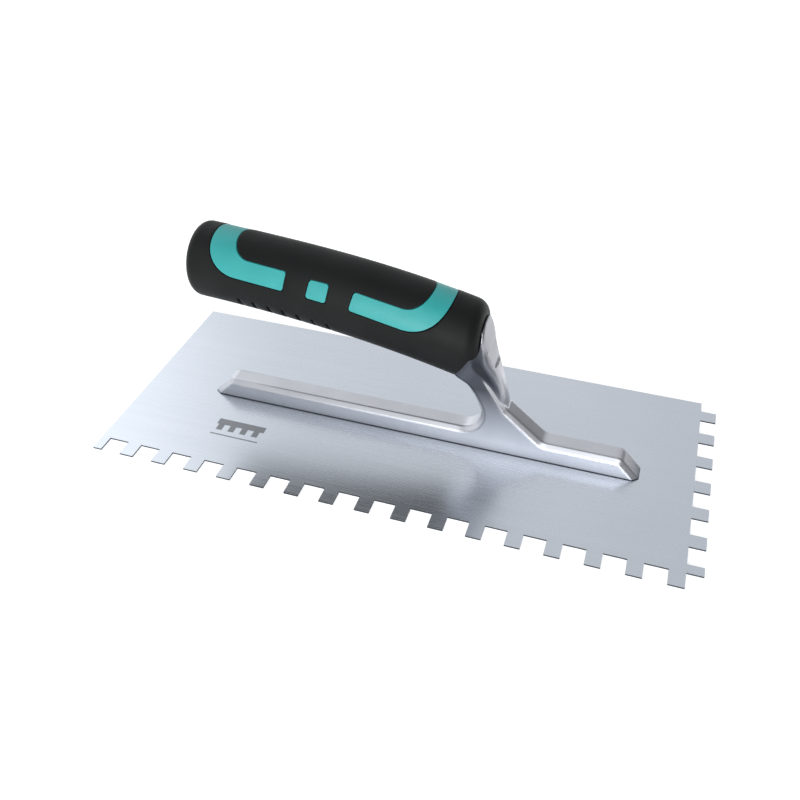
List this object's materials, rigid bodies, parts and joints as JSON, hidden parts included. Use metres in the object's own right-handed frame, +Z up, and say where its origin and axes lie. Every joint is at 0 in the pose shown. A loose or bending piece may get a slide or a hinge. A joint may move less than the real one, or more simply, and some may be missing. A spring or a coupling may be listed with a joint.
{
  "type": "notched trowel",
  "caption": "Flat trowel with a thin steel blade, square notches on a long and a short edge, a cast rib with a curved shank, and a two-colour cushioned handle.",
  "frame": {"origin": "centre of the blade's outline on its underside, the face that rests on the work", "axes": "+X along the blade from the handle's rear end towards the notched short edge, +Y from the notched long edge to the plain long edge, +Z up from the blade to the handle"},
  "size_m": [0.28, 0.1222, 0.0938],
  "materials": {
    "blade_steel": "brushed along the blade",
    "cast_aluminium": "satin, polished casting",
    "teal_plastic": "smooth satin",
    "black_rubber": "matte, soft touch",
    "black_plastic": "matte",
    "fastener_steel": "plain turned steel"
  },
  "bodies": {
    "root": {"blade": "blade_steel", "blade_rivets": "fastener_steel", "blade_mount": "cast_aluminium", "handle_core": "teal_plastic", "soft_grip": "black_rubber", "tie_bolt": "fastener_steel", "bolt_washer": "fastener_steel", "end_plug": "black_plastic"}
  },
  "joints": []
}
